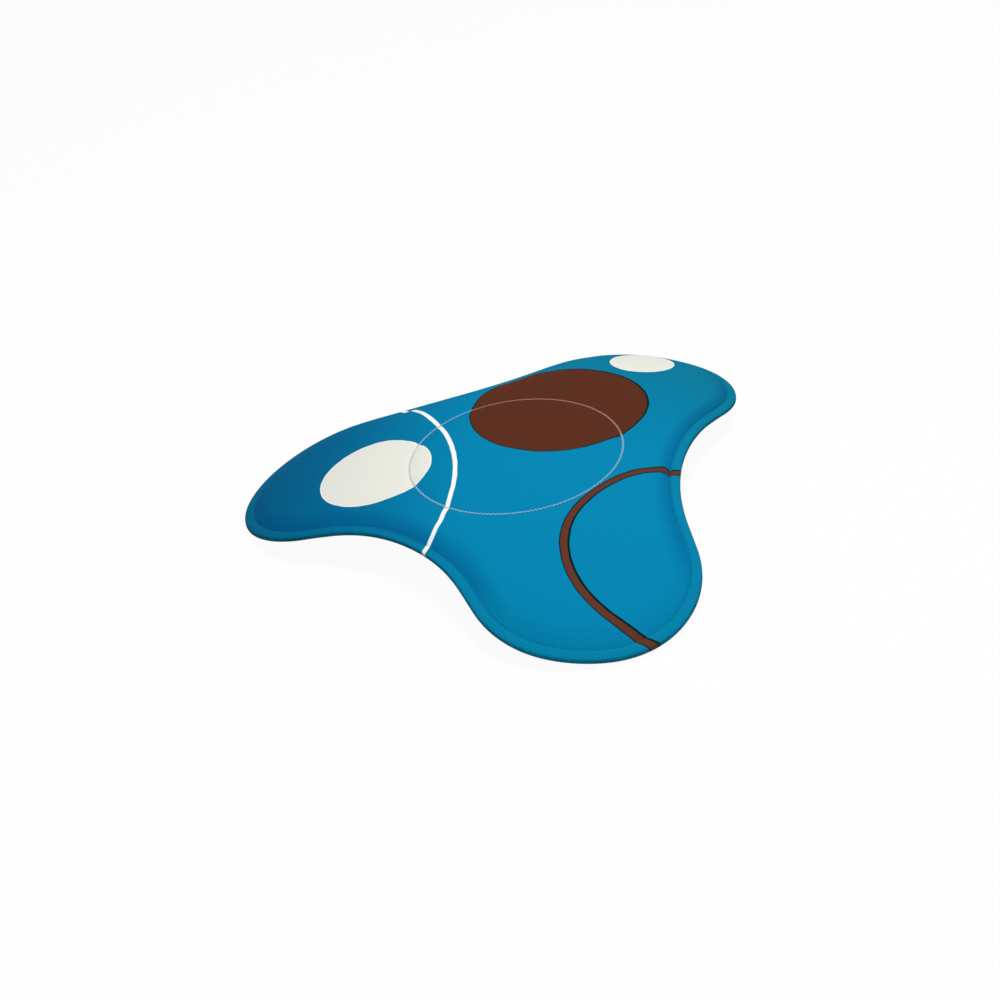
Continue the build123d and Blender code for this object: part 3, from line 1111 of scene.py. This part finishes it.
def painted_rib_and_rim_shade(tree, point, inset, weave, printed):
    """The print with the ribs' painted shade, deeper at the left rim, and the rim's edge darkened
    as painted shade.
    """
    shade = ramp(tree, weave, 0.0, 0.8, start=RIB_DARK, end=RIB_LIGHT)
    printed = mix_colours(tree, 1.0, printed, shade, "MULTIPLY")
    # painted shade: the ribs are shaded deeper near the left rim, where the shoulder faces away
    # from the lamp
    near_rim = ramp(tree, inset, LEFT_RIB_SHADE_FULL, LEFT_RIB_SHADE_END, start=1.0, end=0.0)
    leftmost = ramp(tree, way(tree, point, LEFT_WAY), LEFT_FROM, LEFT_TO)
    left_rib_shade = ramp(tree, weave, 0.1, 0.8, start=LEFT_RIB_SHADE_DARK, end=LEFT_RIB_SHADE_LIGHT)
    printed = mix_colours(tree, times(tree, near_rim, leftmost), printed, left_rib_shade, "MULTIPLY")
    # painted shade: the rim's edge is darkened in patches where the cloth rolls under
    patchy = noise_value(tree, point, scale=60, detail=3.0)
    rim_shade_share = times(tree, ramp(tree, inset, RIM_SHADE_FULL, RIM_SHADE_END, start=1.0, end=0.0),
                   ramp(tree, patchy, 0.3, 0.7, start=RIM_SHADE_LEAST, end=RIM_SHADE_MOST))
    return mix_colours(tree, rim_shade_share, printed, RIM_EDGE_SHADE)


# %% printed canvas
def printed_canvas():
    finish, tree, shader = new_finish("printed_canvas")
    point = object_point(tree)
    plan = flat_point(tree, point)
    inset = value_on_cloth(tree, "inset")
    clouds = noise_value(tree, point, scale=9, detail=3.0)
    weave = weave_height(tree, point)
    gaps = either(tree, *[spot_mask(tree, plan, name) for name in SPOTS],
                  *[stripe_mask(tree, plan, name) for name in STRIPES])
    blue = shoulder_shade(tree, point, inset, blue_ink(tree, point, inset, clouds))
    printed = mix_colours(tree, gaps, blue, bare_cloth(tree, plan, gaps, clouds))
    printed = with_brown(tree, plan, gaps, printed)
    feed(tree, shader.inputs["Base Color"], painted_rib_and_rim_shade(tree, point, inset, weave, printed))
    shader.inputs["Roughness"].default_value = 0.9
    shader.inputs["Specular IOR Level"].default_value = 0.03
    emboss(tree, shader, weave, 0.2 * MM)
    return told(finish)


blue_canvas = printed_canvas()

# %% [markdown]
# ## Plain canvas
#
# The lower cover is a brown canvas with the same weave, dyed and not printed, and the hem shows
# the cream side of the cloth.  One function with two colours makes both, because they differ in
# nothing else.

# %% plain canvas
def plain_canvas(name, colour, deeper):
    finish, tree, shader = new_finish(name)
    point = object_point(tree)
    weave = weave_height(tree, point)
    patchy = noise_value(tree, point, scale=12, detail=4.0)
    cloth = mix_colours(tree, patchy, colour, deeper)
    shade = ramp(tree, weave, 0.0, 0.8, start=0.85, end=1.05)
    feed(tree, shader.inputs["Base Color"], mix_colours(tree, 1.0, cloth, shade, "MULTIPLY"))
    shader.inputs["Roughness"].default_value = 0.85
    shader.inputs["Specular IOR Level"].default_value = 0.25
    emboss(tree, shader, weave, 0.3 * MM)
    return told(finish)


BROWN_DYE, BROWN_DYE_DEEP = to_linear(156, 92, 56), to_linear(128, 72, 42)
UNDYED, UNDYED_DEEP = to_linear(226, 222, 206), to_linear(206, 202, 186)
brown_canvas = plain_canvas("brown_canvas", BROWN_DYE, BROWN_DYE_DEEP)
hem_canvas = plain_canvas("hem_canvas", UNDYED, UNDYED_DEEP)

# %% [markdown]
# ## Foam, moulded board and rubber
#
# Foam and board are seen only if the part is cut open, but each still gets its own grain: foam
# has cells, which a Voronoi texture gives, with their pits darkened as painted shade, and a
# moulded sheet has a fine stipple that breaks its gloss.  The grip patch is pebbled rubber, so it
# takes smooth Voronoi domes, a bloom of dust and a bump.

# %% foam grain
# painted shade: the cells' pits are darker than their walls
FOAM_PIT_SHADE, FOAM_WALL = to_linear(70, 72, 74), to_linear(108, 110, 110)


def cell_foam():
    finish, tree, shader = new_finish("cell_foam")
    cells = tree.nodes.new("ShaderNodeTexVoronoi")
    feed(tree, cells.inputs["Vector"], object_point(tree))
    cells.inputs["Scale"].default_value = 900
    depth = cells.outputs["Distance"]
    feed(tree, shader.inputs["Base Color"],
         mix_colours(tree, ramp(tree, depth, 0.0, 0.7), FOAM_PIT_SHADE, FOAM_WALL))
    shader.inputs["Roughness"].default_value = 0.95
    emboss(tree, shader, depth, 0.4 * MM)
    return told(finish)


foam_grain = cell_foam()


# %% moulded plastic
PLASTIC, PLASTIC_DULL = to_linear(206, 200, 184), to_linear(188, 183, 168)


def moulded_plastic():
    finish, tree, shader = new_finish("moulded_plastic")
    point = object_point(tree)
    stipple = noise_value(tree, point, scale=420, detail=2.0)
    clouds = noise_value(tree, point, scale=14, detail=3.0)
    feed(tree, shader.inputs["Base Color"], mix_colours(tree, clouds, PLASTIC, PLASTIC_DULL))
    feed(tree, shader.inputs["Roughness"], ramp(tree, stipple, 0.2, 0.8, start=0.38, end=0.55))
    emboss(tree, shader, stipple, 0.12 * MM)
    return told(finish)


stippled_plastic = moulded_plastic()


# %% pebbled rubber
RUBBER, RUBBER_DUSTY = to_linear(44, 43, 44), to_linear(60, 58, 56)
RUBBER_RUBBED = to_linear(74, 72, 70)
RUBBED_SHARE = 0.35


def pebbled_rubber():
    finish, tree, shader = new_finish("pebbled_rubber")
    point = object_point(tree)
    pebbles = tree.nodes.new("ShaderNodeTexVoronoi")
    pebbles.feature = "SMOOTH_F1"
    feed(tree, pebbles.inputs["Vector"], point)
    pebbles.inputs["Scale"].default_value = 420
    pebbles.inputs["Smoothness"].default_value = 0.4
    dome = ramp(tree, pebbles.outputs["Distance"], 0.05, 0.6, start=1.0, end=0.0)
    dust = noise_value(tree, point, scale=30, detail=4.0)
    rubber = mix_colours(tree, dust, RUBBER, RUBBER_DUSTY)
    rubber = mix_colours(tree, times(tree, dome, RUBBED_SHARE), rubber, RUBBER_RUBBED)
    feed(tree, shader.inputs["Base Color"], rubber)
    feed(tree, shader.inputs["Roughness"], ramp(tree, dust, 0.2, 0.8, start=0.55, end=0.72))
    emboss(tree, shader, dome, 0.6 * MM)
    return told(finish)


rubber_pebbles = pebbled_rubber()

# %% [markdown]
# ## Threads
#
# A thread is a millimetre thick, so its twist of plies is a wave texture and not geometry.  Fine
# thread also takes up the colour round it, from the cloth that shows between its turns.  One
# colour would stand out too much on the blue or vanish on the cream, so the same circles as the
# print's give it a tint on each.

# %% threads
def sewing_thread(name, on_blue, on_brown, on_cloth):
    """Thread that takes a tint from the ink beside it."""
    finish, tree, shader = new_finish(name)
    point = object_point(tree)
    plan = vector_maths(tree, "MULTIPLY", point, (1, 1, 0))
    brown = either(tree, spot_mask(tree, plan, "brown_spot"),
                   stripe_mask(tree, plan, "brown_stripe"))
    pale = either(tree, spot_mask(tree, plan, "large_white_spot"),
                  spot_mask(tree, plan, "small_white_spot"),
                  stripe_mask(tree, plan, "white_stripe"))
    colour = mix_colours(tree, brown, on_blue, on_brown)
    colour = mix_colours(tree, pale, colour, on_cloth)
    plies = tree.nodes.new("ShaderNodeTexWave")
    feed(tree, plies.inputs["Vector"], point)
    plies.inputs["Scale"].default_value = 900
    plies.inputs["Distortion"].default_value = 2.0
    shade = ramp(tree, plies.outputs["Fac"], 0.0, 1.0, start=0.86, end=1.04)
    feed(tree, shader.inputs["Base Color"], mix_colours(tree, 1.0, colour, shade, "MULTIPLY"))
    shader.inputs["Roughness"].default_value = 0.8
    shader.inputs["Specular IOR Level"].default_value = 0.1
    emboss(tree, shader, plies.outputs["Fac"], 0.08 * MM)
    return told(finish)


blue_thread = sewing_thread("edge_thread", to_linear(10, 132, 176), to_linear(112, 84, 68),
                            to_linear(226, 222, 205))
pale_thread = sewing_thread("ring_thread", to_linear(150, 212, 246), to_linear(190, 152, 126),
                            to_linear(246, 246, 240))

# %% [markdown]
# ## Dressing the pieces
#
# Each new piece gets its finish, rides on the one body, and hides the solids that it stands for.
# The printed canvas is one cloth, so it stands for the five print solids as well.  The grip patch
# is rigid and its solid is right, so it keeps its mesh and only gets the rubber finish.

# %% dress and replace
def dress(piece, finish, slot, *nodes):
    piece.data.materials.clear()
    piece.data.materials.append(finish)
    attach(piece, "root")
    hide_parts(*nodes)


dress(cover, blue_canvas, "blue_canvas", "top_cover", "brown_spot", "brown_stripe",
      "large_white_spot", "small_white_spot", "white_stripe")
dress(lower_cover, brown_canvas, "brown_canvas", "bottom_cover")
dress(core_board, stippled_plastic, "core_plastic", "core_board")
dress(foam, foam_grain, "foam", "foam_pad")
dress(hem, hem_canvas, "blue_canvas", "seam_allowance")
dress(edge_threads, blue_thread, "blue_thread", "edge_stitch")
dress(ring_threads, pale_thread, "white_thread", "ring_stitch")

for holder in bpy.data.objects["grip_patch"].material_slots:
    holder.material = rubber_pebbles
print(len(bpy.data.materials), "finishes")

# %% [markdown]
# ## Camera
#
# The board is seen from above and in front, a little from the left, with the camera rolled by a
# few degrees, from about 1.8 m away.  A Track To constraint can't roll, so the camera's own three
# axes are worked out from the angles and put into its matrix.

# %% camera
ELEVATION = radians(32.576)
YAW = radians(-12.73)
ROLL = radians(9.358)
DISTANCE = 1.7905
AIM_RIGHT, AIM_UP = 0.015214, 0.049362
FOCAL_LENGTH = 64.836
SENSOR_WIDTH = 36
FARTHEST = 50

back = Vector((sin(YAW) * cos(ELEVATION), -cos(YAW) * cos(ELEVATION), sin(ELEVATION)))
level = Vector((cos(YAW), sin(YAW), 0))
above = back.cross(level)
right = level * cos(ROLL) - above * sin(ROLL)
up = level * sin(ROLL) + above * cos(ROLL)
top = Vector((0, 0, crown(0, 0, PAD_TOP)))
place = top + back * DISTANCE - right * AIM_RIGHT - up * AIM_UP

lens = bpy.data.cameras.new("camera")
lens.lens = FOCAL_LENGTH
lens.sensor_width = SENSOR_WIDTH
lens.clip_end = FARTHEST
camera = bpy.data.objects.new("camera", lens)
turn = Matrix((right, up, back)).transposed().to_4x4()
camera.matrix_world = Matrix.Translation(place) @ turn
bpy.context.scene.collection.objects.link(camera)
bpy.context.scene.camera = camera
print("camera at", [round(value, 3) for value in place])

# %% [markdown]
# ## Floor
#
# A plain pale floor carries the board on its three lobe tips.  Enough light to make a floor white
# would bleach the board, so the floor glows white to the camera and is plain matt to everything
# else.  A small share of the matt is kept for the camera too, and that share holds the faint
# shadow.

# %% floor
FLOOR_HALF = 9
FLOOR_DROP = 0.2 * MM  # between the board's lowest points and the floor
FLOOR_GREY = 0.88
GLOW_SHARE = 0.95


def backdrop_rays(tree):
    """1 for rays that should find the surroundings white: direct, mirrored or through glass."""
    paths = tree.nodes.new("ShaderNodeLightPath")
    return either(tree, *[paths.outputs[name] for name in
                          ("Is Camera Ray", "Is Glossy Ray", "Is Transmission Ray")])


def pale_floor():
    finish, tree, shader = new_finish("pale_floor")
    shader.inputs["Base Color"].default_value = (FLOOR_GREY, FLOOR_GREY, FLOOR_GREY, 1)
    shader.inputs["Roughness"].default_value = 0.9
    finish.cycles.emission_sampling = "NONE"
    glow = tree.nodes.new("ShaderNodeEmission")
    glow.inputs["Strength"].default_value = 1.0
    both = tree.nodes.new("ShaderNodeMixShader")
    feed(tree, both.inputs[0], times(tree, backdrop_rays(tree), GLOW_SHARE))
    feed(tree, both.inputs[1], shader.outputs[0])
    feed(tree, both.inputs[2], glow.outputs[0])
    feed(tree, tree.nodes["Material Output"].inputs["Surface"], both.outputs[0])
    return told(finish)


floor_mesh = bpy.data.meshes.new("floor")
bm = bmesh.new()
bmesh.ops.create_grid(bm, x_segments=1, y_segments=1, size=FLOOR_HALF)
bm.to_mesh(floor_mesh)
bm.free()
floor = bpy.data.objects.new("floor", floor_mesh)
bpy.context.scene.collection.objects.link(floor)
floor_mesh.materials.append(pale_floor())

bpy.context.view_layer.update()
lowest = min((piece.matrix_world @ Vector(corner)).z
             for piece in bpy.data.objects if piece.type == "MESH" and piece is not floor
             and not piece.hide_render for corner in piece.bound_box)
for vert in floor_mesh.vertices:
    vert.co.z = lowest - FLOOR_DROP
print(f"floor at {lowest / MM:.1f} mm")

# %% [markdown]
# ## Light
#
# One large soft lamp hangs nearly overhead, a little to the front and right, so the crown is
# evenly lit and only the shoulders fall off.  A single lamp would leave the far sides black, so a
# dim even world fills them in; like the floor, it is white to the camera.

# %% lamp and world
KEY_AZIMUTH = radians(-35)
KEY_ELEVATION = radians(79)
KEY_DISTANCE = 2.6
KEY_SIZE = 1.0
KEY_POWER = 56
SKY_FILL = 0.22


def lamp(name, azimuth, elevation, distance, size, power):
    """A square soft lamp that looks at the board."""
    light = bpy.data.lights.new(name, "AREA")
    light.size = size
    light.energy = power
    from_board = polar(distance * cos(elevation), azimuth) + UP * distance * sin(elevation)
    stand = bpy.data.objects.new(name, light)
    turn = from_board.to_track_quat("Z", "Y").to_matrix().to_4x4()
    stand.matrix_world = Matrix.Translation(from_board) @ turn
    bpy.context.scene.collection.objects.link(stand)
    return stand


key_lamp = lamp("key_lamp", KEY_AZIMUTH, KEY_ELEVATION, KEY_DISTANCE, KEY_SIZE, KEY_POWER)

world = bpy.data.worlds.new("studio")
world.use_nodes = True
bpy.context.scene.world = world
sky = world.node_tree.nodes["Background"]
sky.inputs["Color"].default_value = (1, 1, 1, 1)
feed(world.node_tree, sky.inputs["Strength"],
     ramp(world.node_tree, backdrop_rays(world.node_tree), 0.0, 1.0, start=SKY_FILL, end=1.0))
bpy.context.scene.view_settings.view_transform = "Standard"
print(f"lamp {key_lamp.matrix_world.translation.z:.2f} m up, {KEY_POWER} W")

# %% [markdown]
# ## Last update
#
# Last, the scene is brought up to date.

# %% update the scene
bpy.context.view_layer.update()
